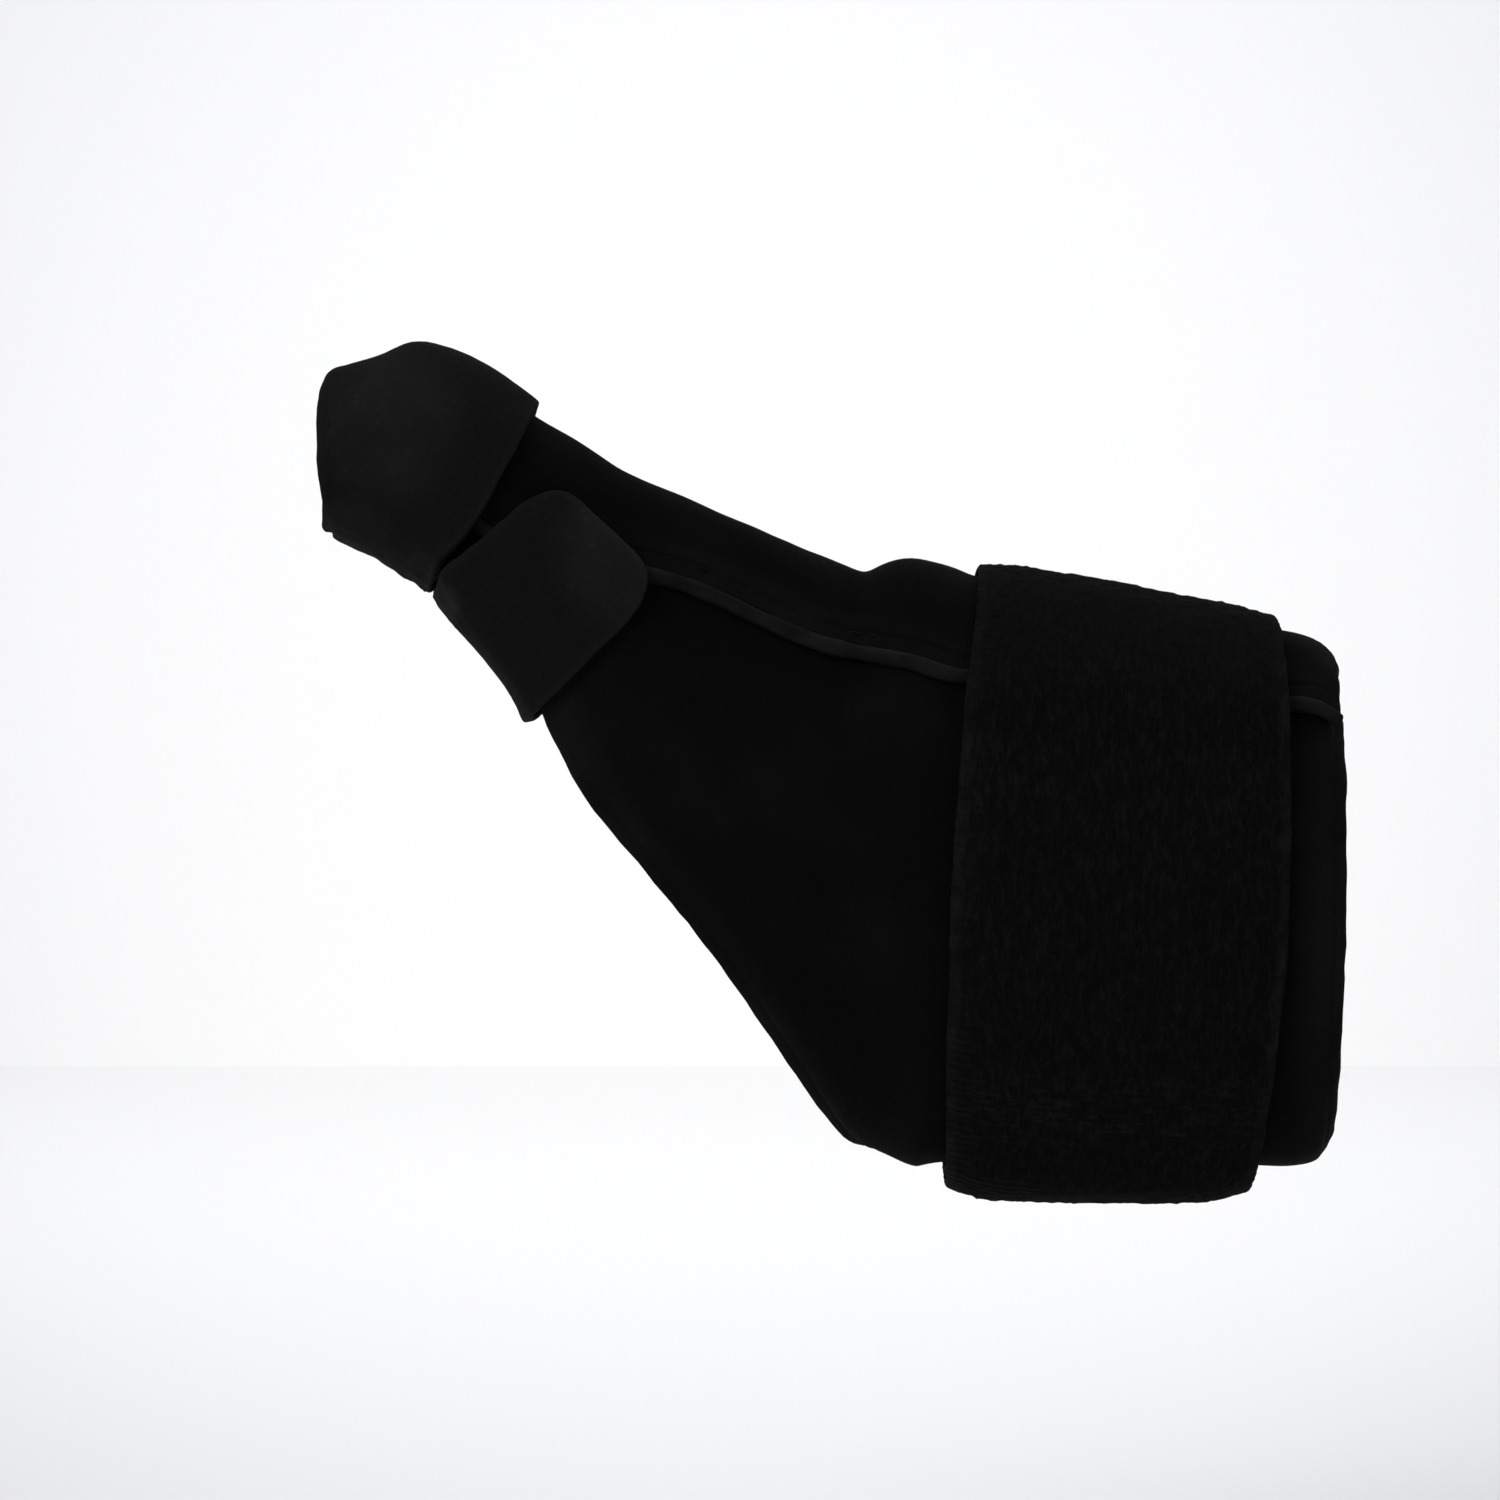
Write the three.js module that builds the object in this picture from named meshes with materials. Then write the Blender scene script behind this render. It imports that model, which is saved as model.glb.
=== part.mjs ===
import * as THREE from "three";

// A soft wrist and thumb spica splint for the right hand, in the shape it has on the hand.
// Lengths are millimetres. +X runs up the forearm, +Z points to the thumb side and -Y out of
// the palm. The origin is the middle of the wrist, under the wide strap.

// The hand form that the padded body panel wraps, to the panel's outer face
const CUFF_REACH = 35.5; // from the wrist's middle to the forearm rim
const THUMB_REACH = 126.4; // from the wrist's middle to the rim at the thumb tip
const THUMB_RISE = 69.5; // the thumb's middle above the wrist's middle
const THUMB_FORWARD = 11; // how far the thumb stands out on the palm side
const WRIST_BREADTH = 92;
const WRIST_DEPTH = 58;
const THUMB_BREADTH = 26;
const THUMB_DEPTH = 26;

// Thicknesses of the cloth pieces, and the air left between two that touch
const BODY_WALL = 2;
const POCKET_THICKNESS = 2.8;
const POCKET_HEM = 1.4; // the pocket's thickness where its edge is sewn down
const PIPING_DIAMETER = 1.6;
const THUMB_STRAP_THICKNESS = 1.8;
const WRIST_STRAP_THICKNESS = 2.6;
const SELVAGE_THICKNESS = 1.5; // the wrist strap's flat woven edges, without pile
const SEAM_GAP = 0.45;
const STRAP_GAP = 0.5;

// Straps
const WRIST_STRAP_WIDTH = 51;
const WRIST_STRAP_TILT = 2.7; // degrees off square to the forearm
const WRIST_STRAP_FLARE = { thumbSide: 0.95, flat: 1.03, littleSide: 0.96 }; // shares of the width
const WRIST_STRAP_TURNS = { from: 195, to: -250 }; // degrees round the wrist
const SELVAGE_WIDTH = 7;
const LOWER_STRAP_WIDTH = 25;
const LOWER_STRAP_LEAN = 45; // degrees between the strap's run and the forearm
const LOWER_STRAP_TURNS = { from: -45, to: -292 };
const LOWER_STRAP_SHIFT = 0.8; // from the web's middle toward the wrist
const LOWER_TAB_SLANT = 4; // degrees that the tab's end turns across the strap
const UPPER_STRAP_LEAN = 22; // degrees that its lower edge leans to the forearm
const UPPER_STRAP_TURNS = { from: 150, to: -285 };
const UPPER_STRAP_REACH = 1.3; // how far its lower edge lies past the knuckle
const UPPER_RIM_DIP = 0.6; // sections by which its end falls back on the thumb side and below
const STRAP_CORNER = 6; // corner radius of a strap's free end
const STRAP_DRAPE = 10; // how far beside the pocket a strap meets the cloth again
const TIP_DRAPE = 5; // and how far past the pocket's ends
const STRAP_CLIMB = 24; // degrees over which a strap climbs onto its own start

// Sections of the hand form from the forearm rim to the thumb rim. along is a share of
// THUMB_REACH, or of CUFF_REACH where it is negative, and rise a share of THUMB_RISE, both to
// the section's middle. lean is in degrees from upright. breadth and depth are shares of the
// wrist's size, going over to the thumb's by the share thumb. forward is a share of
// THUMB_FORWARD and lower the share of the breadth below the widest point. palm and back are
// the degrees from the thumb side to the panel's two free edges, and seam those to the
// pocket's piped edge.
const SECTION_COLUMNS = [
  "name", "along", "rise", "lean", "thumb", "breadth", "depth", "forward", "lower", "palm", "back", "seam",
];
const SECTIONS = [
  ["rim", -1, -0.075, 1, 0, 0.78, 0.9, 0, 0.5, 205, 140, 36],
  ["lip", -0.955, -0.0755, 1, 0, 0.845, 0.965, 0, 0.5, 205, 140, 37],
  ["cuff", -0.82, -0.057, 2, 0, 0.9, 0.99, 0, 0.5, 205, 140, 38],
  ["wrist", -0.45, -0.042, 2, 0, 0.91, 1, 0, 0.5, 205, 140, 41],
  ["strapMiddle", -0.04, -0.023, 3, 0, 0.942, 1, 0, 0.5, 205, 140, 43],
  ["strapEdge", 0.184, 0.0115, 4, 0, 0.988, 0.97, 0, 0.5, 205, 140, 44.5],
  ["notch", 0.222, 0.014, 3.8, 0, 1.015, 0.965, 0.03, 0.5, 203, 139, 46],
  ["bulge", 0.276, 0.047, 2.4, 0, 1.006, 0.98, 0.06, 0.5, 196, 134, 45],
  ["crease", 0.323, 0.045, 2.3, 0, 0.956, 0.91, 0.1, 0.47, 176, 126, 39],
  ["heel", 0.386, 0.153, 4.4, 0, 0.842, 0.88, 0.18, 0.42, 152, 118, 39],
  ["palm", 0.451, 0.285, 9.4, 0, 0.7, 0.83, 0.28, 0.36, 134, 112, 38.5],
  ["midPalm", 0.517, 0.397, 15, 0, 0.603, 0.78, 0.38, 0.31, 124, 108, 38.5],
  ["ball", 0.585, 0.508, 23.6, 0, 0.513, 0.72, 0.5, 0.24, 119, 106, 40],
  ["webStart", 0.645, 0.643, 31.8, 0.5, 0.612, 0.905, 0.64, 0.08, 121, 108, 48],
  ["web", 0.7, 0.737, 37, 0.8, 0.778, 1.05, 0.78, 0.12, 128, 114, 59],
  ["webEnd", 0.758, 0.832, 38.5, 1, 1.05, 1.13, 0.9, 0.22, 138, 125, 74],
  ["knuckle", 0.798, 0.89, 28.9, 1, 0.98, 1.02, 0.96, 0.4, 146, 136, 82],
  ["thumb", 0.86, 0.965, 19.8, 1, 1.015, 1.03, 1, 0.5, 150, 142, 84],
  ["nail", 0.911, 0.995, 12, 1, 0.955, 1, 1, 0.5, 150, 142, 82],
  ["tip", 0.955, 1, 2, 1, 0.85, 0.92, 1, 0.5, 150, 142, 82],
  ["thumbRim", 0.987, 1, -5, 1, 0.72, 0.8, 1, 0.5, 150, 142, 82],
].map((row) => Object.fromEntries(SECTION_COLUMNS.map((column, i) => [column, row[i]])));

const LAST = SECTIONS.length - 1;
const stop = (name) => SECTIONS.findIndex((section) => section.name === name);
const BODY_STOP = stop("tip") + 0.25; // where the panel ends inside the upper strap
const POCKET_STOPS = { proximal: stop("lip") + 0.2, distal: stop("thumb") + 0.75 };
const POCKET_BACK_SHARE = 0.9; // the plain edge on the back, as a share of the piped one
const POCKET_TIP_SHARE = 0.5; // width left at the pocket's rounded tip
const POCKET_TIP_STOPS = 1.1; // how many sections back the rounding starts

const radians = THREE.MathUtils.degToRad;
const { lerp, smoothstep } = THREE.MathUtils;

// A column's value between sections, on a smooth curve through the table
function valueAt(column, s) {
  const i = Math.min(Math.max(Math.floor(s), 0), LAST - 1);
  const t = s - i;
  const [a, b, c, d] = [i - 1, i, i + 1, i + 2].map(
    (k) => SECTIONS[Math.min(Math.max(k, 0), LAST)][column],
  );
  const slopeB = (c - a) / 2;
  const slopeC = (d - b) / 2;
  const rest = 2 * b - 2 * c + slopeB + slopeC;
  return b + slopeB * t + (3 * c - 3 * b - 2 * slopeB - slopeC) * t * t + rest * t ** 3;
}

// The measures of one section in millimetres: its top point on the thumb side, the unit vector
// down its breadth, and its half axes
function sectionAt(s) {
  const along = valueAt("along", s);
  const thumb = valueAt("thumb", s);
  const breadth = valueAt("breadth", s) * lerp(WRIST_BREADTH, THUMB_BREADTH, thumb);
  const halfDepth = (valueAt("depth", s) * lerp(WRIST_DEPTH, THUMB_DEPTH, thumb)) / 2;
  const lean = radians(valueAt("lean", s));
  const down = new THREE.Vector3(-Math.sin(lean), 0, -Math.cos(lean));
  const middle = new THREE.Vector3(
    -along * (along < 0 ? CUFF_REACH : THUMB_REACH),
    -valueAt("forward", s) * THUMB_FORWARD,
    valueAt("rise", s) * THUMB_RISE,
  );
  const lowerAxis = valueAt("lower", s) * breadth;
  const edge = Math.min(valueAt("palm", s), 180);
  const upperAxis = breadth + lowerAxis * Math.cos(radians(edge));
  const top = middle.addScaledVector(down, -breadth / 2);
  return { top, down, upperAxis, lowerAxis, halfDepth };
}

// A point on the outside of the hand form, theta degrees round from the thumb side, negative
// on the palm side
function formPoint(s, theta) {
  const { top, down, upperAxis, lowerAxis, halfDepth } = sectionAt(s);
  const cosine = Math.cos(radians(theta));
  const drop = upperAxis - cosine * (cosine > 0 ? upperAxis : lowerAxis);
  const point = top.clone().addScaledVector(down, drop);
  point.y += halfDepth * Math.sin(radians(theta));
  return point;
}

const STEP = 0.02;
const ROWS_PER_SECTION = 2;
function along(s, theta) {
  const low = Math.max(s - STEP, 0);
  const high = Math.min(s + STEP, LAST);
  return formPoint(high, theta).sub(formPoint(low, theta)).divideScalar(high - low);
}

function around(s, theta) {
  return formPoint(s, theta + STEP).sub(formPoint(s, theta - STEP)).divideScalar(2 * STEP);
}

const outward = (s, theta) => around(s, theta).cross(along(s, theta)).normalize();
const lifted = (s, theta, lift) => formPoint(s, theta).addScaledVector(outward(s, theta), lift);

// The section that a plane cuts at theta. The plane stands square to the XZ plane, its normal
// leans by tilt degrees from +X, and it passes at distance from the origin.
const HALVINGS = 40;
function stationOnPlane(theta, tilt, distance) {
  const normal = new THREE.Vector3(Math.cos(radians(tilt)), 0, -Math.sin(radians(tilt)));
  let low = 0;
  let high = LAST;
  for (let pass = 0; pass < HALVINGS; pass += 1) {
    const middle = (low + high) / 2;
    if (formPoint(middle, theta).dot(normal) > distance) low = middle;
    else high = middle;
  }
  return (low + high) / 2;
}

// A closed wall between two matching grids of points, its outer and its inner face
function wallGeometry(outer, inner) {
  const rows = outer.length;
  const columns = outer[0].length;
  const points = [...outer.flat(), ...inner.flat()];
  const outside = (i, j) => i * columns + j;
  const inside = (i, j) => rows * columns + outside(i, j);
  const index = [];
  const quad = (a, b, c, d) => index.push(a, b, c, a, c, d);
  for (let i = 0; i + 1 < rows; i += 1) {
    for (let j = 0; j + 1 < columns; j += 1) {
      quad(outside(i, j), outside(i, j + 1), outside(i + 1, j + 1), outside(i + 1, j));
      quad(inside(i, j), inside(i + 1, j), inside(i + 1, j + 1), inside(i, j + 1));
    }
    quad(outside(i, 0), outside(i + 1, 0), inside(i + 1, 0), inside(i, 0));
    const end = columns - 1;
    quad(outside(i, end), inside(i, end), inside(i + 1, end), outside(i + 1, end));
  }
  for (let j = 0; j + 1 < columns; j += 1) {
    quad(outside(0, j), inside(0, j), inside(0, j + 1), outside(0, j + 1));
    const end = rows - 1;
    quad(outside(end, j), outside(end, j + 1), inside(end, j + 1), inside(end, j));
  }
  const geometry = new THREE.BufferGeometry().setFromPoints(points);
  geometry.setIndex(index);
  geometry.computeVertexNormals();
  return geometry;
}

// The stops from one to another, at both ends and everywhere that the form has a row of points,
// so that two pieces on each other have the same facets
function sectionStops(from, to) {
  const rows = [from];
  const first = Math.floor(from * ROWS_PER_SECTION) + 1;
  for (let row = first; row / ROWS_PER_SECTION < to - STEP; row += 1) {
    rows.push(row / ROWS_PER_SECTION);
  }
  return [...rows, to];
}

const shares = (steps) => Array.from({ length: steps + 1 }, (_, i) => i / steps);

// The body panel: one padded sheet wrapped round the wrist, the ball of the thumb and the
// thumb, open along the palm, with its two long edges a little apart on the back
const PANEL_FACETS = 30;
function bodyPanel() {
  const rows = sectionStops(0, BODY_STOP);
  const grid = (lift) =>
    rows.map((s) =>
      shares(PANEL_FACETS).map((share) => {
        const theta = lerp(-valueAt("palm", s), valueAt("back", s), share);
        return lifted(s, theta, lift);
      }),
    );
  return wallGeometry(grid(0), grid(-BODY_WALL));
}

// The stay pocket: a flat padded sleeve sewn along the thumb side, thin at its sewn edges
function pocketEdges(s) {
  const fromTip = (POCKET_STOPS.distal - s) / POCKET_TIP_STOPS;
  const missing = Math.max(1 - Math.max(fromTip, 0), 0);
  const width = POCKET_TIP_SHARE + (1 - POCKET_TIP_SHARE) * Math.sqrt(1 - missing * missing);
  const seam = valueAt("seam", s) * width;
  return { palm: -seam, back: seam * POCKET_BACK_SHARE };
}

const POCKET_ACROSS = [0, 0.06, 0.14, 0.24, 0.34, 0.45, 0.55, 0.66, 0.76, 0.86, 0.94, 1];
const SEWN_SHARPNESS = 6; // how suddenly the pocket thins to its sewn edges
function stayPocket() {
  const rows = sectionStops(POCKET_STOPS.proximal, POCKET_STOPS.distal);
  const grid = (thick) =>
    rows.map((s, i) => {
      const { palm, back } = pocketEdges(s);
      return POCKET_ACROSS.map((share) => {
        const sewn = Math.abs(2 * share - 1) ** SEWN_SHARPNESS;
        const ended = i === 0 || i === rows.length - 1 ? 1 : sewn;
        const thickness = lerp(POCKET_THICKNESS, POCKET_HEM, ended) * thick;
        return lifted(s, lerp(palm, back, share), SEAM_GAP + thickness);
      });
    });
  return wallGeometry(grid(1), grid(0));
}

// The piping: a round cord in the seam along the pocket's palm edge
const PIPING_POINTS = 30;
const PIPING_FACETS = { steps: 40, curveSegments: 4 };
function pocketPiping() {
  const radius = PIPING_DIAMETER / 2;
  const points = shares(PIPING_POINTS).map((share) => {
    const s = lerp(POCKET_STOPS.proximal, stop("knuckle"), share);
    const { palm } = pocketEdges(s);
    const side = around(s, palm).normalize();
    return lifted(s, palm, SEAM_GAP + radius).addScaledVector(side, -(SEAM_GAP + radius));
  });
  const section = new THREE.Shape().absarc(0, 0, radius, 0, 2 * Math.PI);
  const extrudePath = new THREE.CatmullRomCurve3(points);
  return new THREE.ExtrudeGeometry(section, { ...PIPING_FACETS, extrudePath });
}

// How high the pocket and its piping hold a strap off the body panel. Past their edges the
// strap comes down again over STRAP_DRAPE.
function pocketHeight(s, theta) {
  const turned = THREE.MathUtils.euclideanModulo(theta + 180, 360) - 180;
  const { proximal, distal } = POCKET_STOPS;
  const near = Math.min(Math.max(s, proximal), distal);
  const { palm, back } = pocketEdges(near);
  const edge = Math.min(Math.max(turned, palm), back);
  const past = formPoint(s, turned).distanceTo(formPoint(s, edge));
  const before = (Math.abs(s - near) * along(s, turned).length() * STRAP_DRAPE) / TIP_DRAPE;
  const beyond = Math.hypot(past, before);
  const flat = SEAM_GAP + PIPING_DIAMETER;
  return (SEAM_GAP + POCKET_THICKNESS) * (1 - smoothstep(beyond, flat, flat + STRAP_DRAPE));
}

// How much of its own thickness a strap has climbed once it has gone all the way round
function climbed(turns, theta) {
  const overlap = turns.from - 360;
  return smoothstep(-theta, -overlap - STRAP_CLIMB, -overlap);
}

// Degrees by which the free end of a strap is set back near its edges, for a round corner
function cornerSetback(fromEdge, s, theta) {
  const missing = Math.max(STRAP_CORNER - fromEdge, 0);
  const back = STRAP_CORNER - Math.sqrt(STRAP_CORNER ** 2 - missing ** 2);
  return back / around(s, theta).length();
}

// A strap: station(theta, share) gives the section that it crosses at theta, share of the way
// over its width, and thicknessAt(fromEdge) its thickness that far inside its edge
function strap({ turns, width, thicknessAt, steps, across, station, slant = 0, roundStart = false }) {
  const grid = (side) =>
    shares(steps).map((u) =>
      across.map((v) => {
        const fromEdge = Math.min(v, 1 - v) * width;
        const thickness = thicknessAt(fromEdge);
        const startTheta = turns.from + slant * (v - 0.5);
        const startSetback = roundStart
          ? cornerSetback(fromEdge, station(startTheta, v), startTheta)
          : 0;
        const endSetback = cornerSetback(fromEdge, station(turns.to, v), turns.to);
        const theta = lerp(startTheta - startSetback, turns.to + endSetback, u);
        const s = station(theta, v);
        const layer = climbed(turns, theta) * (thickness + STRAP_GAP);
        return lifted(s, theta, STRAP_GAP + pocketHeight(s, theta) + layer + side * thickness);
      }),
    );
  return wallGeometry(grid(1), grid(0));
}

// The wide wrist strap, once round over the panel's edges and on over its own start
function wristStrap() {
  const { thumbSide, flat, littleSide } = WRIST_STRAP_FLARE;
  const flare = (theta) => {
    const cosine = Math.cos(radians(theta));
    const side = lerp(littleSide, thumbSide, (1 + cosine) / 2);
    const middle = (thumbSide + littleSide) / 2;
    return side + (flat - middle) * (1 - cosine * cosine);
  };
  return strap({
    turns: WRIST_STRAP_TURNS,
    width: WRIST_STRAP_WIDTH,
    thicknessAt: (fromEdge) =>
      lerp(SELVAGE_THICKNESS, WRIST_STRAP_THICKNESS, smoothstep(fromEdge, 0, SELVAGE_WIDTH)),
    steps: 56,
    across: [0, 0.07, 0.14, 0.3, 0.5, 0.7, 0.86, 0.93, 1],
    station: (theta, v) =>
      stationOnPlane(theta, WRIST_STRAP_TILT, (0.5 - v) * WRIST_STRAP_WIDTH * flare(theta)),
  });
}

// The plane position of the lower thumb strap's middle: it runs over the web of the thumb
function lowerStrapMiddle() {
  const web = stop("web");
  const edge = formPoint(web, -valueAt("palm", web));
  const lean = radians(LOWER_STRAP_LEAN);
  return edge.x * Math.cos(lean) - edge.z * Math.sin(lean) + LOWER_STRAP_SHIFT;
}

// The lower thumb strap: a tab on the ball of the thumb, through the web and up the back
function lowerThumbStrap() {
  const middle = lowerStrapMiddle();
  return strap({
    turns: LOWER_STRAP_TURNS,
    width: LOWER_STRAP_WIDTH,
    thicknessAt: () => THUMB_STRAP_THICKNESS,
    steps: 36,
    across: [0, 0.08, 0.2, 0.35, 0.5, 0.65, 0.8, 0.92, 1],
    slant: LOWER_TAB_SLANT,
    roundStart: true,
    station: (theta, v) =>
      stationOnPlane(theta, LOWER_STRAP_LEAN, middle + (0.5 - v) * LOWER_STRAP_WIDTH),
  });
}

// The upper thumb strap: a wide wrap from beside the lower strap to past the panel's end
function upperThumbStrap() {
  const knuckle = formPoint(stop("knuckle"), 0);
  const lean = radians(UPPER_STRAP_LEAN);
  const knucklePlane = knuckle.x * Math.cos(lean) - knuckle.z * Math.sin(lean);
  const edgePlane = knucklePlane + UPPER_STRAP_REACH;
  const lowerEdge = lowerStrapMiddle() - LOWER_STRAP_WIDTH / 2 - 2 * STRAP_GAP;
  const firstStation = (theta) =>
    Math.max(
      stationOnPlane(theta, UPPER_STRAP_LEAN, edgePlane),
      stationOnPlane(theta, LOWER_STRAP_LEAN, lowerEdge),
    );
  const lastStation = (theta) => LAST - UPPER_RIM_DIP * (1 - Math.abs(Math.sin(radians(theta))));
  const middleWidth = formPoint(stop("knuckle"), -90).distanceTo(formPoint(LAST, -90));
  return strap({
    turns: UPPER_STRAP_TURNS,
    width: middleWidth,
    thicknessAt: () => THUMB_STRAP_THICKNESS,
    steps: 36,
    across: [0, 0.14, 0.28, 0.42, 0.56, 0.68, 0.8, 0.9, 1],
    station: (theta, v) => lerp(firstStation(theta), lastStation(theta), v),
  });
}

const cloth = (color, roughness) =>
  new THREE.MeshStandardMaterial({ color, roughness, metalness: 0 });
const JERSEY = cloth(0x101011, 0.82);
const BRUSHED_LOOP = cloth(0x19191a, 0.9);
const WOVEN_LOOP = cloth(0x0e0e0f, 0.95);

function piece(name, geometry, material) {
  const mesh = new THREE.Mesh(geometry, material);
  mesh.name = name;
  return mesh;
}

const splint = new THREE.Group();
splint.add(
  piece("body_panel", bodyPanel(), JERSEY),
  piece("stay_pocket", stayPocket(), JERSEY),
  piece("pocket_piping", pocketPiping(), JERSEY),
  piece("wrist_strap", wristStrap(), WOVEN_LOOP),
  piece("lower_thumb_strap", lowerThumbStrap(), BRUSHED_LOOP),
  piece("upper_thumb_strap", upperThumbStrap(), BRUSHED_LOOP),
);

export default splint;
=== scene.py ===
import math
from bisect import bisect

import bmesh
import bpy
from mathutils import Matrix, Vector, kdtree, noise


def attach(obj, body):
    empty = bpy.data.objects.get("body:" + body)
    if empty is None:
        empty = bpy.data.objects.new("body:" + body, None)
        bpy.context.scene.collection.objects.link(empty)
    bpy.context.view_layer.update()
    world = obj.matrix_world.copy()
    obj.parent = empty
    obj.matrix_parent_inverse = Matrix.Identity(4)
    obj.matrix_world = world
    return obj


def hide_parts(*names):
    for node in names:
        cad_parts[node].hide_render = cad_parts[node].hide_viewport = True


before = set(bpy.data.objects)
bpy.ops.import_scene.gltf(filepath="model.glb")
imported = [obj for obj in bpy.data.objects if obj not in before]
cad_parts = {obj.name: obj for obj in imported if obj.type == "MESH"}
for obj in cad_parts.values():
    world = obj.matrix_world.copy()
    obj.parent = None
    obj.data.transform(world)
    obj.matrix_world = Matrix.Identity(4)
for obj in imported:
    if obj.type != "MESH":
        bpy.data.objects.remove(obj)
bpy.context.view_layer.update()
MM = 0.001

# The padded panel. One sheet of black jersey laminated on thin foam, cut in a single piece and
# wrapped round the wrist, the ball of the thumb and the thumb, open along the palm. Its edges
# are heat-rolled and held down by one row of stitches.

PANEL_ROLL = 0.7 * MM
PANEL_HEM = 2.4 * MM
JERSEY_BLACK = (0.0021, 0.0021, 0.0021)
JERSEY_PALE = (0.0058, 0.0058, 0.0058)
JERSEY_WALE = 0.75 * MM
JERSEY_COURSE = 0.6 * MM
RIM_ANGLE = math.radians(50)
FOLD_SHARE = 0.0008  # of a piece's whole surface
SEWING_REACH = 0.002 * MM
SKEW_ALLOWED = 1.0
TURN_ALLOWED = 0.7
OUTER = 0
STITCH_LENGTH = 2.1 * MM
STITCH_PITCH = 2.9 * MM
STITCH_SIDES = 6
THREAD_RADIUS = 0.15 * MM
THREAD_SINK = 0.5  # of its radius
SHORT_LINE = 12
EASING_PASSES = 8

# Soft creases in the laminate, from one end to the other in millimetres. A raised one has a
# positive height.
CREASE_COLUMNS = ("side", "start", "end", "width", "height")
CREASES = [
    dict(zip(CREASE_COLUMNS, row))
    for row in (
        (-1, (-38.5, 52), (-43, 33), 2.6, -0.6),
        (-1, (-43.5, 34), (-42, 21), 2.2, -0.45),
        (-1, (-41, 33), (-39, 20), 2.0, 0.4),
        (-1, (-29.5, 44), (-30.5, -42), 3.5, 0.5),
        (-1, (-84, 36), (-62, 20), 3.0, -0.35),
        (-1, (-80, 40), (-56, 27), 2.6, 0.3),
        (-1, (-54, 8), (-36, -18), 5.0, -0.4),
        (-1, (-34, 12), (-29, -30), 3.0, -0.4),
        (1, (-84, 40), (-58, 24), 3.2, -0.6),
        (1, (-80, 44), (-50, 34), 3.0, 0.5),
        (1, (-40, 50), (-44, 10), 3.4, -0.6),
        (1, (-34, 44), (-32, -20), 4.0, 0.5),
    )
]


def sewn_mesh(node):
    """A solid's loose triangles, sewn together and turned back into four-sided faces."""
    cloth = bmesh.new()
    cloth.from_mesh(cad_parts[node].data)
    bmesh.ops.remove_doubles(cloth, verts=cloth.verts, dist=SEWING_REACH)
    bmesh.ops.join_triangles(
        cloth, faces=cloth.faces, angle_face_threshold=TURN_ALLOWED,
        angle_shape_threshold=SKEW_ALLOWED,
    )
    cloth.normal_update()
    return cloth


def area(faces):
    return sum(face.calc_area() for face in faces)


def islands_between(cloth, seams):
    """The cloth's faces in groups that the seams part, the largest first."""
    walls, seen, islands = set(seams), set(), []
    for face in cloth.faces:
        if face in seen:
            continue
        seen.add(face)
        island, waiting = [], [face]
        while waiting:
            here = waiting.pop()
            island.append(here)
            for edge in here.edges:
                for beside in edge.link_faces:
                    if edge not in walls and beside not in seen:
                        seen.add(beside)
                        waiting.append(beside)
        islands.append(island)
    return sorted(islands, key=lambda island: -area(island))


def rims_between_sides(cloth):
    """Numbers the cloth's sides, the largest 0, and returns the edges where two sides meet.
    A small fold counts as part of the side around it."""
    side = cloth.faces.layers.int.new("side")
    sharp = [edge for edge in cloth.edges if edge.calc_face_angle(0) > RIM_ANGLE]
    smallest = FOLD_SHARE * area(cloth.faces)
    home = {}
    for number, island in enumerate(islands_between(cloth, sharp)):
        if area(island) < smallest:
            edges = {edge for face in island for edge in face.edges}
            around = {beside for edge in edges for beside in edge.link_faces}
            number = min((home[face] for face in around if face in home), default=number)
        home.update(dict.fromkeys(island, number))
    for face, number in home.items():
        face[side] = number
    return [edge for edge in cloth.edges if len({face[side] for face in edge.link_faces}) == 2]


def points_along(edges):
    """Points on the edges, about a millimetre apart."""
    points = []
    for edge in edges:
        start, end = (vert.co for vert in edge.verts)
        steps = max(1, round((end - start).length / MM))
        points += [start.lerp(end, step / steps) for step in range(steps)]
    return points


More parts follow.
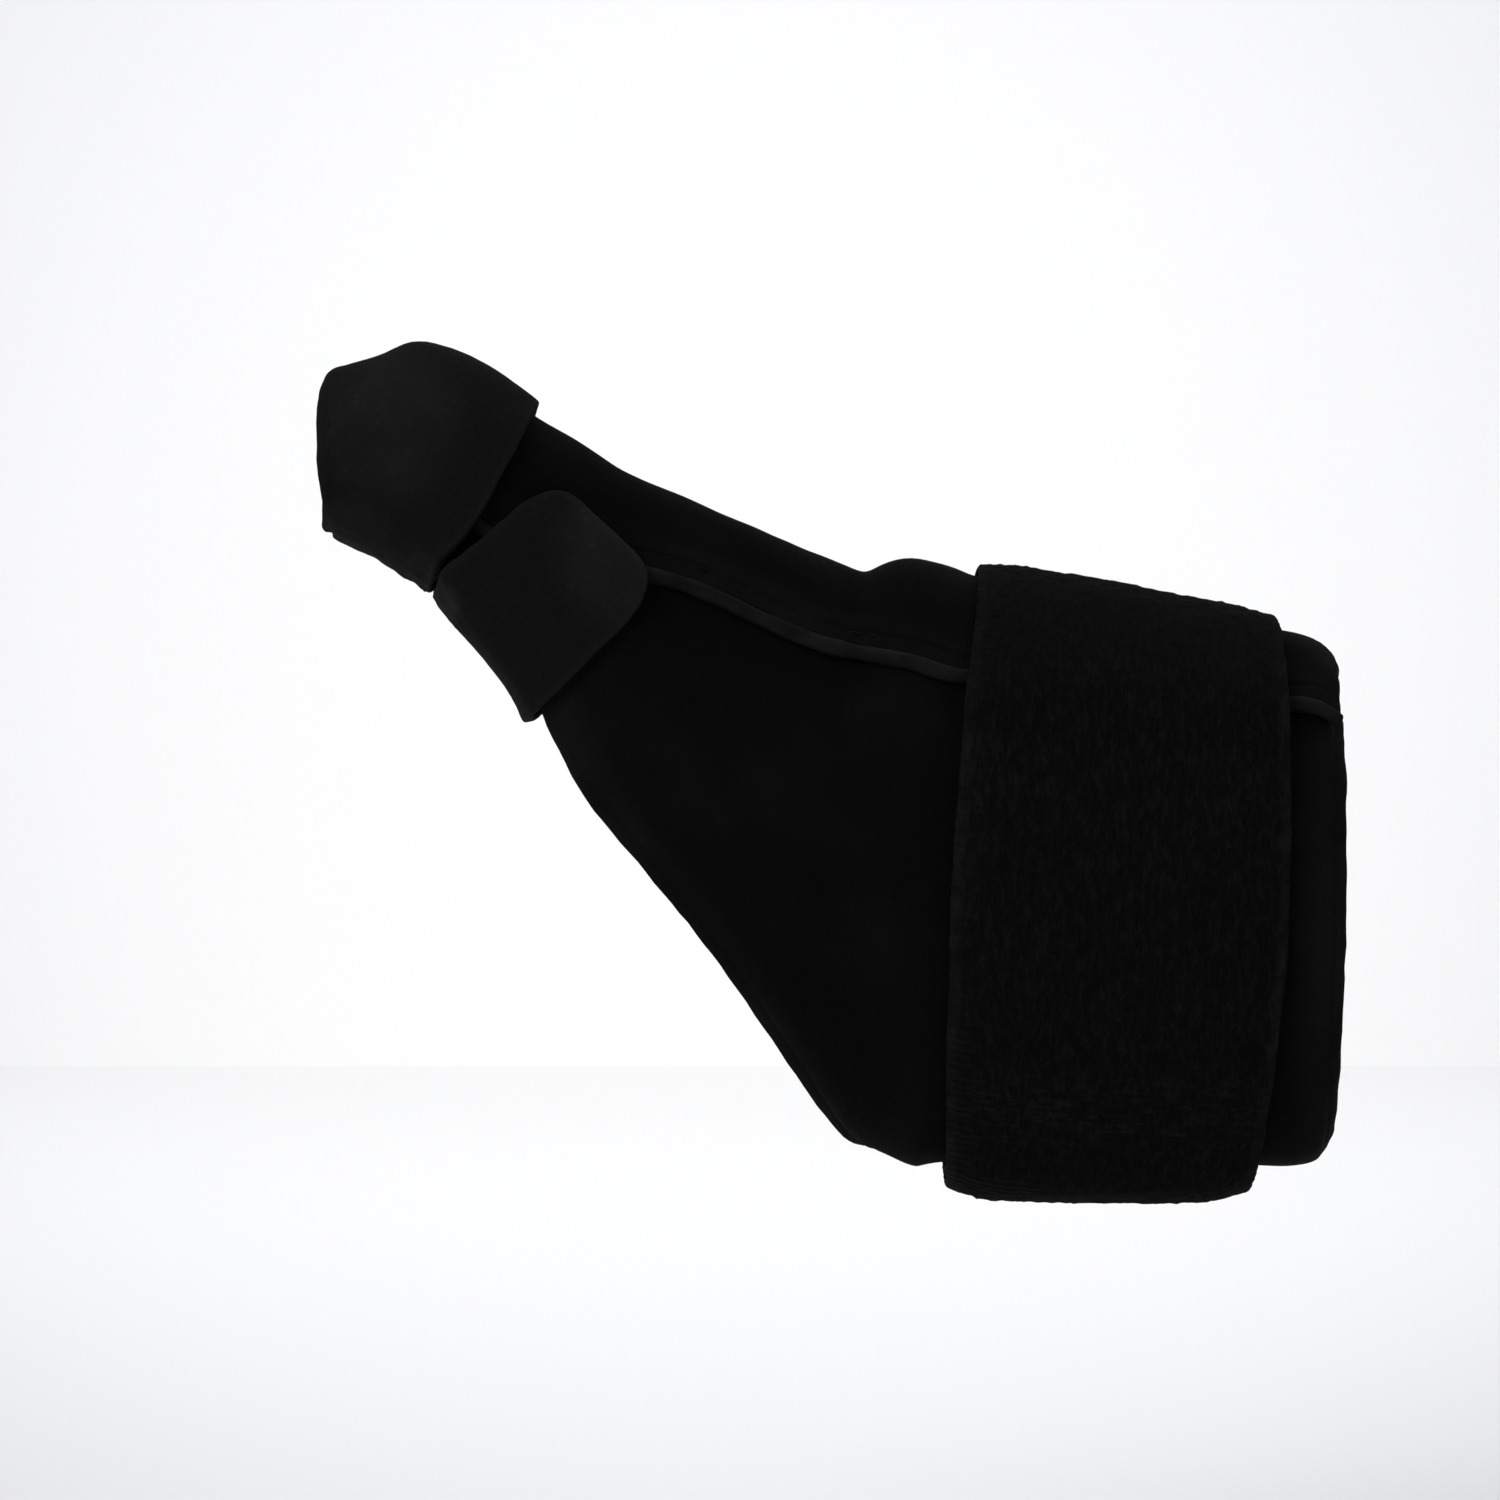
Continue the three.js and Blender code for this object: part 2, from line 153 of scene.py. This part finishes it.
def lay_flat(piece, grain):
    """Unwraps the piece along its seams in metres, with u running along grain."""
    bpy.context.view_layer.objects.active = piece
    bpy.ops.object.mode_set(mode="EDIT")
    bpy.ops.mesh.select_all(action="SELECT")
    bpy.ops.uv.unwrap(method="ANGLE_BASED", margin=0)
    bpy.ops.object.mode_set(mode="OBJECT")
    cloth = bmesh.new()
    cloth.from_mesh(piece.data)
    flat = cloth.loops.layers.uv.active
    grain = Vector(grain).normalized()
    # Each island is scaled to its true size, then turned by a least-squares fit of the rise
    # along the grain to u and v, and moved to the corner of the pattern.
    for island in islands_between(cloth, [edge for edge in cloth.edges if edge.seam]):
        corners = [corner for face in island for corner in face.loops]
        true_length = flat_length = uu = uv = vv = us = vs = 0
        for corner in corners:
            along = corner.link_loop_next
            step = along.vert.co - corner.vert.co
            du, dv = along[flat].uv - corner[flat].uv
            true_length += step.length
            flat_length += math.hypot(du, dv)
            rise = step.dot(grain)
            uu, uv, vv = uu + du * du, uv + du * dv, vv + dv * dv
            us, vs = us + du * rise, vs + dv * rise
        scale = true_length / max(flat_length, 1e-9)
        turn = -math.atan2(vs * uu - us * uv, us * vv - vs * uv)
        cosine, sine = math.cos(turn) * scale, math.sin(turn) * scale
        for corner in corners:
            u, v = corner[flat].uv
            corner[flat].uv = (u * cosine - v * sine, u * sine + v * cosine)
        left = min(corner[flat].uv.x for corner in corners)
        low = min(corner[flat].uv.y for corner in corners)
        for corner in corners:
            corner[flat].uv -= Vector((left, low))
    cloth.to_mesh(piece.data)
    cloth.free()


def settled(piece):
    """Bakes the piece's modifiers into its mesh."""
    shape = piece.evaluated_get(bpy.context.evaluated_depsgraph_get())
    mesh = bpy.data.meshes.new_from_object(shape)
    piece.modifiers.clear()
    piece.data = mesh


def cloth_piece(name, node, grain, roll, levels):
    """A soft piece in the shape of a solid: flat pattern, rolled rims and a smooth surface.
    Its points know how far they are from its rims, and its faces which side they are on."""
    cloth = sewn_mesh(node)
    rims = rims_between_sides(cloth)
    for edge in rims:
        edge.seam = True
    rim = kdtree.KDTree(sum(max(1, round(edge.calc_length() / MM)) for edge in rims))
    for number, point in enumerate(points_along(rims)):
        rim.insert(point, number)
    rim.balance()
    mesh = bpy.data.meshes.new(name)
    cloth.to_mesh(mesh)
    cloth.free()
    piece = bpy.data.objects.new(name, mesh)
    bpy.context.collection.objects.link(piece)
    lay_flat(piece, grain)
    cloth = bmesh.new()
    cloth.from_mesh(piece.data)
    bmesh.ops.bevel(
        cloth, geom=[edge for edge in cloth.edges if edge.seam], offset=roll,
        offset_type="OFFSET", segments=2, profile=0.5, material=-1, affect="EDGES",
        clamp_overlap=True,
    )
    cloth.to_mesh(piece.data)
    cloth.free()
    smooth = piece.modifiers.new("smooth", "SUBSURF")
    smooth.levels = smooth.render_levels = levels
    settled(piece)
    piece.data.shade_smooth()
    inside = piece.data.attributes.new("from_rim", "FLOAT", "POINT")
    inside.data.foreach_set("value", [rim.find(vertex.co)[2] for vertex in piece.data.vertices])
    return piece


def pushed(piece, height):
    """Moves each point of the piece along its normal by height(point, normal, from_rim)."""
    mesh = piece.data
    inside = [item.value for item in mesh.attributes["from_rim"].data]
    normals = [vertex.normal.copy() for vertex in mesh.vertices]
    points = [vertex.co.copy() for vertex in mesh.vertices]
    moved = [
        point + normal * height(point, normal, rim)
        for point, normal, rim in zip(points, normals, inside)
    ]
    mesh.vertices.foreach_set("co", [value for point in moved for value in point])
    mesh.update()


def bell(distance, width):
    return math.exp(-((distance / width) ** 2))


def creased(point, side):
    """The height of the creases on one side at a point."""
    height = 0
    place = Vector((point.x, point.z)) / MM
    for crease in CREASES:
        if crease["side"] != side:
            continue
        start, run = Vector(crease["start"]), Vector(crease["end"]) - Vector(crease["start"])
        share = min(max((place - start).dot(run) / run.length_squared, 0), 1)
        reach = (place - start - run * share).length
        fade = math.sin(math.pi * (0.1 + 0.8 * share))
        height += crease["height"] * bell(reach, crease["width"]) * fade
    return height * MM


def contour(piece, distance):
    """The lines on the piece's outer face at a distance inside its rims, each a list of
    (point, normal) pairs."""
    mesh = piece.data
    inside = [item.value for item in mesh.attributes["from_rim"].data]
    sides = [item.value for item in mesh.attributes["side"].data]
    crossings, beside = {}, {}
    for face in mesh.polygons:
        cut = []
        for key in face.edge_keys if sides[face.index] == OUTER else ():
            a, b = (mesh.vertices[index] for index in key)
            low, high = inside[a.index], inside[b.index]
            if (low < distance) != (high < distance):
                share = (distance - low) / (high - low)
                crossings[key] = (a.co.lerp(b.co, share), a.normal.lerp(b.normal, share))
                cut.append(key)
        if len(cut) == 2:
            beside.setdefault(cut[0], []).append(cut[1])
            beside.setdefault(cut[1], []).append(cut[0])
    lines, seen = [], set()
    for key in sorted(beside, key=lambda key: len(beside[key])):
        line = []
        while key is not None and key not in seen:
            seen.add(key)
            line.append(crossings[key])
            key = next((other for other in beside[key] if other not in seen), None)
        if len(line) > SHORT_LINE:
            lines.append(line)
    return lines


def eased(line):
    """The line with its small zigzags taken out."""
    for _ in range(EASING_PASSES):
        inner = [
            [(before + 2 * here + after) / 4 for before, here, after in zip(*three)]
            for three in zip(line, line[1:], line[2:])
        ]
        line = [line[0], *inner, line[-1]]
    return line


def stitch_row(name, piece, distance):
    """A row of stitches along the piece's rims, at a distance inside them."""
    row = bmesh.new()
    for line in map(eased, contour(piece, distance)):
        reach = [0]
        for (start, _), (end, _) in zip(line, line[1:]):
            reach.append(reach[-1] + (end - start).length)

        def at(travelled):
            i = min(max(bisect(reach, travelled) - 1, 0), len(line) - 2)
            share = (travelled - reach[i]) / max(reach[i + 1] - reach[i], 0.001 * MM)
            return [here.lerp(there, share) for here, there in zip(line[i], line[i + 1])]

        for number in range(int(reach[-1] / STITCH_PITCH)):
            start, _ = at(number * STITCH_PITCH)
            end, _ = at(number * STITCH_PITCH + STITCH_LENGTH)
            middle, up = at(number * STITCH_PITCH + STITCH_LENGTH / 2)
            along = (end - start).normalized()
            aside = up.cross(along).normalized()
            up = along.cross(aside)
            place = Matrix((aside * THREAD_RADIUS, up * THREAD_RADIUS, along * STITCH_LENGTH / 2))
            place = place.transposed().to_4x4()
            place.translation = middle - up * THREAD_RADIUS * THREAD_SINK
            bmesh.ops.create_uvsphere(
                row, u_segments=STITCH_SIDES, v_segments=STITCH_SIDES, radius=1, matrix=place
            )
    mesh = bpy.data.meshes.new(name)
    row.to_mesh(mesh)
    row.free()
    mesh.shade_smooth()
    stitches = bpy.data.objects.new(name, mesh)
    bpy.context.collection.objects.link(stitches)
    return stitches


class Signal:
    """A number, colour or vector on its way from one node of a finish to the next."""

    def __init__(self, finish, socket):
        self.finish = finish
        self.socket = socket

    def math(self, operation, *values):
        return self.finish.node("ShaderNodeMath", {"operation": operation}, dict(enumerate(values)))

    def __add__(self, other):
        return self.math("ADD", self, other)

    def __radd__(self, other):
        return self.math("ADD", other, self)

    def __sub__(self, other):
        return self.math("SUBTRACT", self, other)

    def __rsub__(self, other):
        return self.math("SUBTRACT", other, self)

    def __mul__(self, other):
        return self.math("MULTIPLY", self, other)

    def __truediv__(self, other):
        return self.math("DIVIDE", self, other)

    def sine(self):
        return self.math("SINE", self)

    def fraction(self):
        return self.math("FRACT", self)

    def absolute(self):
        return self.math("ABSOLUTE", self)

    def between(self, low, high):
        """0 below low, 1 above high and a smooth way between them."""
        return self.finish.node(
            "ShaderNodeMapRange", {"interpolation_type": "SMOOTHSTEP"},
            {"Value": self, "From Min": low, "From Max": high},
        )

    def parts(self):
        """The x, y and z of a vector."""
        split = self.finish.node("ShaderNodeSeparateXYZ", {}, {"Vector": self})
        return [Signal(self.finish, output) for output in split.socket.node.outputs]

    def stretched(self, scale):
        return self.finish.node("ShaderNodeVectorMath", {"operation": "MULTIPLY"}, {0: self, 1: scale})

    def noise(self, scale, detail=3, roughness=0.55):
        return self.finish.node(
            "ShaderNodeTexNoise", {},
            {"Vector": self, "Scale": scale, "Detail": detail, "Roughness": roughness},
        )


class Finish:
    """A material, its shader and the nodes that feed it."""

    def __init__(self, name, roughness, specular=0.02):
        self.material = bpy.data.materials.new(name)
        self.material.use_nodes = True
        self.tree = self.material.node_tree
        self.shader = self.tree.nodes["Principled BSDF"]
        self.shader.inputs["Roughness"].default_value = roughness
        self.shader.inputs["Specular IOR Level"].default_value = specular

    def node(self, kind, settings, sockets, output=0):
        made = self.tree.nodes.new(kind)
        for name, value in settings.items():
            setattr(made, name, value)
        for name, value in sockets.items():
            self.feed(made.inputs[name], value)
        return Signal(self, made.outputs[output])

    def feed(self, socket, value):
        if isinstance(value, Signal):
            self.tree.links.new(value.socket, socket)
        else:
            socket.default_value = value

    def flat(self):
        """The place in the flat pattern, in metres."""
        return self.node("ShaderNodeTexCoord", {}, {}, "UV")

    def place(self):
        """The place on the splint, in metres."""
        return self.node("ShaderNodeTexCoord", {}, {}, "Object")

    def from_rim(self):
        return self.node("ShaderNodeAttribute", {"attribute_name": "from_rim"}, {}, "Fac")

    def colour(self, low, high, share):
        return self.node(
            "ShaderNodeMix", {"data_type": "RGBA"},
            {"Factor": share, "A": (*low, 1), "B": (*high, 1)}, "Result",
        )

    def bump(self, height, distance, strength=1):
        return self.node(
            "ShaderNodeBump", {}, {"Height": height, "Distance": distance, "Strength": strength}
        )

    def shade(self, **sockets):
        for name, value in sockets.items():
            self.feed(self.shader.inputs[name.replace("_", " ")], value)
        return self.material


def jersey_finish(name, black, pale_black):
    """Black jersey: a fine knit, lighter in a band along the rolled edge, with painted sheen right at
    the rim and painted shade in the stitch groove.
    """
    finish = Finish(name, 0.85)
    flat, rim = finish.flat(), finish.from_rim()
    u, v, _ = flat.parts()
    lean = (u / JERSEY_WALE).fraction() - 0.5
    wale = ((u / JERSEY_WALE) * (2 * math.pi)).sine()
    course = ((v / JERSEY_COURSE + lean.absolute()) * (2 * math.pi)).sine()
    handling = flat.noise(38, 4)
    lint = flat.noise(700, 3)
    hem = 1 - (rim + handling * 6 * MM).between(6 * MM, 11 * MM)
    # Painted sheen along the rolled rim.
    painted_light = 1 - rim.between(0.6 * MM, 1.6 * MM)
    # The stitch line's dent, for the bump and for painted shade in the colour.
    groove = (rim - PANEL_HEM).absolute().between(0, 0.9 * MM)
    # The lighter mix: random mottles and lint, the band along the rims and the painted sheen.
    worn = handling.between(0.4, 0.75) * 0.3 + lint.between(0.6, 0.85) * 0.25
    worn = worn + hem * (0.25 + handling.between(0.35, 0.65) * 0.4) + painted_light * 0.2
    height = wale * 0.12 + course * 0.08 + lint * 0.8 + groove * 1.5
    return finish.shade(
        Base_Color=finish.colour(black, pale_black, worn * (0.8 + groove * 0.2)),
        Normal=finish.bump(height, 0.14 * MM, 0.8),
    )


def thread_finish():
    finish = Finish("thread", 0.8, specular=0.03)
    twist = finish.place().noise(2200, 2)
    return finish.shade(
        Base_Color=finish.colour(JERSEY_BLACK, JERSEY_PALE, twist),
        Normal=finish.bump(twist, 0.05 * MM),
    )


JERSEY = jersey_finish("jersey", JERSEY_BLACK, JERSEY_PALE)
THREAD = thread_finish()
panel = cloth_piece("panel_cloth", "body_panel", (-1, 0, 0), PANEL_ROLL, 2)


def panel_folds(point, normal, rim):
    side = -1 if normal.y < 0 else 1
    broad = noise.noise(point * 55) * 0.35 + noise.noise(point * 170) * 0.12
    puckers = noise.noise(point * 260) * 0.3 * bell(rim, 6 * MM)
    hem = -0.3 * bell(rim - PANEL_HEM, 1.1 * MM)
    facing = min(abs(normal.y) * 1.5, 1)
    return (broad + puckers + hem) * MM + creased(point, side) * facing


pushed(panel, panel_folds)
panel.data.materials.append(JERSEY)
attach(panel, "root")
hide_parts("body_panel")

hem_stitches = stitch_row("panel_hem_stitches", panel, PANEL_HEM)
hem_stitches.data.materials.append(THREAD)
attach(hem_stitches, "root")

# The stay pocket. A padded sleeve of the same laminate sewn on along the thumb side, with a
# flat springy stay inside. It is thin at its sewn edges and full over the stay.

POCKET_ROLL = 0.4 * MM
# The pocket's colours are a darker copy of the laminate's: painted shade over the sleeve.
POCKET_SHADED_BLACK = (0.0011, 0.0011, 0.0011)
POCKET_SHADED_PALE = (0.0045, 0.0045, 0.0045)
pocket = cloth_piece("pocket_cloth", "stay_pocket", (-1, 0, 0), POCKET_ROLL, 2)


def pocket_folds(point, normal, rim):
    broad = noise.noise(point * 80) * 0.3 + noise.noise(point * 230) * 0.1
    puckers = noise.noise(point * 300) * 0.3 * bell(rim, 5 * MM)
    side = -1 if normal.y < 0.2 else 1
    return (broad + puckers) * MM + creased(point, side) * 0.8


pushed(pocket, pocket_folds)
pocket.data.materials.append(jersey_finish("pocket_shaded_jersey", POCKET_SHADED_BLACK, POCKET_SHADED_PALE))
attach(pocket, "root")
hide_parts("stay_pocket")

pocket_stitches = stitch_row("pocket_stitches", pocket, PANEL_HEM)
pocket_stitches.data.materials.append(THREAD)
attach(pocket_stitches, "root")

# The piping. A bias strip of the jersey folded over a thin cord and caught in the seam along
# the sleeve's palm edge, where it stands up as a ridge with a painted highlight.

PIPING_ROLL = 0.2 * MM
# Lighter than the jersey the strip is cut from: painted highlight along the ridge.
PIPING_HIGHLIT_BLACK = (0.004, 0.004, 0.004)
PIPING_HIGHLIGHT = (0.0085, 0.0085, 0.0085)


def piping_finish():
    finish = Finish("piping_binding", 0.75)
    place = finish.place()
    ribs = place.stretched((1600, 500, 500)).noise(1, 2)
    patches = place.noise(160, 3)
    return finish.shade(
        Base_Color=finish.colour(PIPING_HIGHLIT_BLACK, PIPING_HIGHLIGHT, patches.between(0.3, 0.7)),
        Normal=finish.bump(ribs, 0.15 * MM),
    )


def cord_folds(point, normal, rim):
    """Fuller on the pocket's side, where the strip runs into the seam."""
    return (0.3 + 0.5 * max(normal.z, 0) + noise.noise(point * 260) * 0.25) * MM


piping = cloth_piece("piping_cord", "pocket_piping", (-1, 0, 0), PIPING_ROLL, 1)
pushed(piping, cord_folds)
piping.data.materials.append(piping_finish())
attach(piping, "root")
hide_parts("pocket_piping")

# The wrist strap. Wide woven elastic with a woolly loop pile on its outer face and a flat ribbed
# selvage along each edge, wrapped once round and pressed onto its own hook tab.

WRIST_TILT = math.radians(2.7)
WRIST_GRAIN = (math.cos(WRIST_TILT), 0, -math.sin(WRIST_TILT))
WRIST_ROLL = 0.5 * MM
WRIST_BLACK = (0.0024, 0.0024, 0.0024)
WRIST_LIGHT = (0.0098, 0.0098, 0.0098)
SELVAGE = 5.5 * MM
SELVAGE_RIB = 1.4 * MM
TUFT = Vector((1 / 0.95, 1 / 2.6, 1 / 2.6)) / MM
DASH = Vector((1 / 3.5, 1 / 0.8, 1 / 0.8)) / MM


def wrist_finish():
    """Loop pile in light and dark tufts drawn out along the strap, and ribs on the selvage, with a
    painted highlight along the rims and painted shade towards the top.
    """
    finish = Finish("woven_loop", 0.92)
    flat, place, rim = finish.flat(), finish.place(), finish.from_rim()
    u, v, _ = flat.parts()
    _, _, height = place.parts()
    tufts = place.stretched(tuple(TUFT)).noise(1, 3, 0.65)
    loops = place.stretched(tuple(TUFT * 2.6)).noise(1, 3, 0.6)
    worn = place.noise(60, 3)
    patches = place.noise(240, 2)
    distal = 1 - u.between(20 * MM, 26 * MM)
    low = 1 - height.between(-38 * MM, -12 * MM)
    ribbed = (1 - rim.between(SELVAGE * 0.6, SELVAGE)) * distal * (0.25 + low * 0.75)
    ribs = ((v / SELVAGE_RIB + worn * 3) * (2 * math.pi)).sine() * 0.5 + 0.5
    # Painted highlight along the strap's rims.
    edge = 1 - rim.between(0.9 * MM, 2.4 * MM)
    band = height.between(-43 * MM, -38 * MM) * (1 - height.between(-33 * MM, -26 * MM))
    dashes = place.stretched(tuple(DASH)).noise(1, 2, 0.5).between(0.5, 0.68) * band
    pile = tufts.between(0.42, 0.75) * 0.36 + loops.between(0.5, 0.75) * 0.26 + dashes * 0.32
    tone = pile * (1 - ribbed * 0.6) * (0.5 + worn) + ribbed * ribs * patches * 0.5
    tone = tone + edge * (0.12 + patches.between(0.35, 0.65) * 0.3)
    # Painted shade: the strap is darker towards its top.
    tone = tone * (1 - height.between(24 * MM, 44 * MM) * 0.6)
    relief = (loops + tufts * 0.6) * (1 - ribbed * 0.6) + ribbed * ribs * 0.6
    return finish.shade(
        Base_Color=finish.colour(WRIST_BLACK, WRIST_LIGHT, tone),
        Normal=finish.bump(relief, 0.5 * MM),
    )


wrist = cloth_piece("wrist_strap_cloth", "wrist_strap", WRIST_GRAIN, WRIST_ROLL, 3)


def wrist_pile(point, normal, rim):
    """Tufts over the pile, ribs over the selvage toward the thumb straps."""
    tufts = noise.noise(point * TUFT) * 0.3 + noise.noise(point * (TUFT * 2.2)) * 0.16
    pile = min(rim / SELVAGE, 1)
    wander = noise.noise(point * 60) * 3
    ribs = math.sin((point.z / SELVAGE_RIB + wander) * 2 * math.pi) * 0.04 * (1 - pile)
    return (noise.noise(point * 90) * 0.25 + tufts * (0.25 + 0.75 * pile) + ribs) * MM


pushed(wrist, wrist_pile)
wrist.data.materials.append(wrist_finish())
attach(wrist, "root")
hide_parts("wrist_strap")

# The two thumb straps. Brushed loop cloth bonded to thin foam, cut clean with heat. The lower
# one runs through the web of the thumb to a tab with cut corners, the upper one wraps the end.

THUMB_ROLL = 0.5 * MM
THUMB_BLACK = (0.0047, 0.0047, 0.0047)
THUMB_LIGHT = (0.0125, 0.0125, 0.0125)
LOWER_FLAT = (0.025, 0.075)
UPPER_FLAT = (0.033, 0.1)

# Pools of painted light on each strap's nap, in millimetres, and how bright each is.
PAINTED_LIGHT_COLUMNS = ("x", "z", "reach", "gain")
LOWER_PAINTED_LIGHT = ((-75, 53, 16, 1.1), (-107, 44, 5, 2.4))
UPPER_PAINTED_LIGHT = ((-113.5, 72, 14, 0.9), (-120, 54.5, 8, 1.1), (-112, 49, 6, 1.0))


def brushed_finish(name, painted_spots):
    """Brushed loop: a short nap, with pools of painted light in places, painted glints inside them and
    a painted highlight along the edge.
    """
    finish = Finish(name, 0.9)
    flat, place, rim = finish.flat(), finish.place(), finish.from_rim()
    x, _, z = place.parts()
    # Painted light: pools of light and highlights painted into the nap's colour, one per spot.
    painted_light = 0
    for spot in (dict(zip(PAINTED_LIGHT_COLUMNS, row)) for row in painted_spots):
        across, up, reach = x - spot["x"] * MM, z - spot["z"] * MM, spot["reach"] * MM
        inside = 1 - (across * across + up * up).between((0.3 * reach) ** 2, reach ** 2)
        painted_light = inside * spot["gain"] + painted_light
    nap = flat.stretched((1500, 900, 1)).noise(1, 4, 0.6)
    lit_mottle = flat.noise(75, 3)
    # Painted glints: paler specks of painted light, only inside the pools.
    painted_glints = flat.noise(420, 2).between(0.6, 0.68) * lit_mottle.between(0.4, 0.6) * painted_light
    # Painted highlight along the strap's rim.
    edge = 1 - rim.between(0.5 * MM, 1.8 * MM)
    tone = painted_light * (0.25 + lit_mottle.between(0.3, 0.7) * 0.3) + nap.between(0.4, 0.8) * 0.18
    return finish.shade(
        Base_Color=finish.colour(THUMB_BLACK, THUMB_LIGHT, tone + painted_glints * 0.5 + edge * 0.2),
        Normal=finish.bump(nap, 0.25 * MM),
    )


# Where the heat-cut ends have gone stiff and crinkled: x, z and reach in millimetres.
CRINKLES = ((-107, 44, 5), (-113, 49, 6))


def strap_nap(point, normal, rim):
    soft = noise.noise(point * 130) * 0.25 + noise.noise(point * 600) * 0.08
    near = sum(
        bell(math.hypot(point.x / MM - x, point.z / MM - z), reach) for x, z, reach in CRINKLES
    )
    crinkle = noise.noise(point * 430) * 0.45 * near
    return (soft + crinkle + noise.noise(point * 300) * 0.15 * bell(rim, 3 * MM)) * MM


for name, node, grain, painted_spots, flat_size in (
    ("lower_thumb_strap_cloth", "lower_thumb_strap", (-1, 0, 1), LOWER_PAINTED_LIGHT, LOWER_FLAT),
    ("upper_thumb_strap_cloth", "upper_thumb_strap", (-1, 0, 0.5), UPPER_PAINTED_LIGHT, UPPER_FLAT),
):
    strap = cloth_piece(name, node, grain, THUMB_ROLL, 2)
    pushed(strap, strap_nap)
    strap.data.materials.append(brushed_finish(node + "_brushed", painted_spots))
    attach(strap, "root")
    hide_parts(node)

# The studio. A pale floor that runs back to a pale wall, each with painted shade away from the
# middle of the picture, wide soft lights and a long lens square to the palm side.

PIXEL = 0.16 * MM
PICTURE_WIDTH = 1500 * PIXEL
CAMERA_REACH = 1.0
AIM = Vector((-360 * PIXEL, 0, 135 * PIXEL))  # the picture's middle
FLOOR_DROP = 0.12
WALL_REACH = 1.8
STAGE_SIZE = 4
PAPER_BRIGHT = (0.94, 0.94, 0.945)
PAPER_SHADED = (0.66, 0.665, 0.68)
SURROUNDINGS = 0.33


def paper_finish():
    """White paper, with painted shade towards the picture's corners and the front of the floor."""
    finish = Finish("studio_paper", 0.95)
    x, y, z = finish.place().parts()
    reach = y + CAMERA_REACH
    right = (x - AIM.x) / reach
    up = (z - AIM.z) / reach
    # Painted shade towards the picture's corners.
    corner = (right * right + up * up).between(0.0375 ** 2, 0.203 ** 2)
    # Painted shade towards the front of the floor.
    floor = 1 - z.between(-FLOOR_DROP, -FLOOR_DROP + MM)
    near = (1 - y.between(0.1, 1.6)) * floor
    return finish.shade(Base_Color=finish.colour(PAPER_BRIGHT, PAPER_SHADED, corner * 0.5 + near * 0.5))


def stage_sheet():
    """A floor sheet turned up into a wall behind the splint."""
    sheet = bmesh.new()
    bmesh.ops.create_grid(sheet, x_segments=1, y_segments=1, size=STAGE_SIZE)
    bmesh.ops.translate(sheet, verts=sheet.verts, vec=(0, WALL_REACH - STAGE_SIZE, -FLOOR_DROP))
    far = [edge for edge in sheet.edges if all(vert.co.y > WALL_REACH - MM for vert in edge.verts)]
    raised = bmesh.ops.extrude_edge_only(sheet, edges=far)["geom"]
    top = [item for item in raised if isinstance(item, bmesh.types.BMVert)]
    bmesh.ops.translate(sheet, verts=top, vec=(0, 0, STAGE_SIZE))
    bmesh.ops.recalc_face_normals(sheet, faces=sheet.faces)
    mesh = bpy.data.meshes.new("studio_floor")
    sheet.to_mesh(mesh)
    sheet.free()
    floor = bpy.data.objects.new("studio_floor", mesh)
    bpy.context.collection.objects.link(floor)
    floor.data.materials.append(paper_finish())


def soft_light(name, place, aim, size, power):
    light = bpy.data.lights.new(name, "AREA")
    light.shape = "RECTANGLE"
    light.size, light.size_y = size
    light.energy = power
    lamp = bpy.data.objects.new(name, light)
    lamp.location = place
    lamp.rotation_euler = (aim - lamp.location).to_track_quat("-Z", "Y").to_euler()
    bpy.context.collection.objects.link(lamp)


stage_sheet()
soft_light("key", AIM + Vector((-0.9, -1.3, 0.75)), AIM, (1.0, 1.0), 14)
soft_light("fill", AIM + Vector((1.2, -1.2, 0.2)), AIM, (1.4, 1.4), 5)
soft_light("low", AIM + Vector((-0.7, -0.9, -0.1)), AIM, (0.6, 0.2), 1.4)
soft_light("backdrop", Vector((0, 0.4, 1.5)), Vector((0, 1.3, -FLOOR_DROP)), (2.4, 1.0), 25)

world = bpy.data.worlds.new("studio")
bpy.context.scene.world = world
world.use_nodes = True
world.node_tree.nodes["Background"].inputs["Color"].default_value = (1, 1, 1, 1)
world.node_tree.nodes["Background"].inputs["Strength"].default_value = SURROUNDINGS

camera = bpy.data.cameras.new("camera")
camera.lens = camera.sensor_width * CAMERA_REACH / PICTURE_WIDTH
eye = bpy.data.objects.new("camera", camera)
eye.location = AIM - Vector((0, CAMERA_REACH, 0))
eye.rotation_euler = (math.pi / 2, 0, 0)
bpy.context.collection.objects.link(eye)
bpy.context.scene.camera = eye
bpy.context.scene.view_settings.view_transform = "Standard"
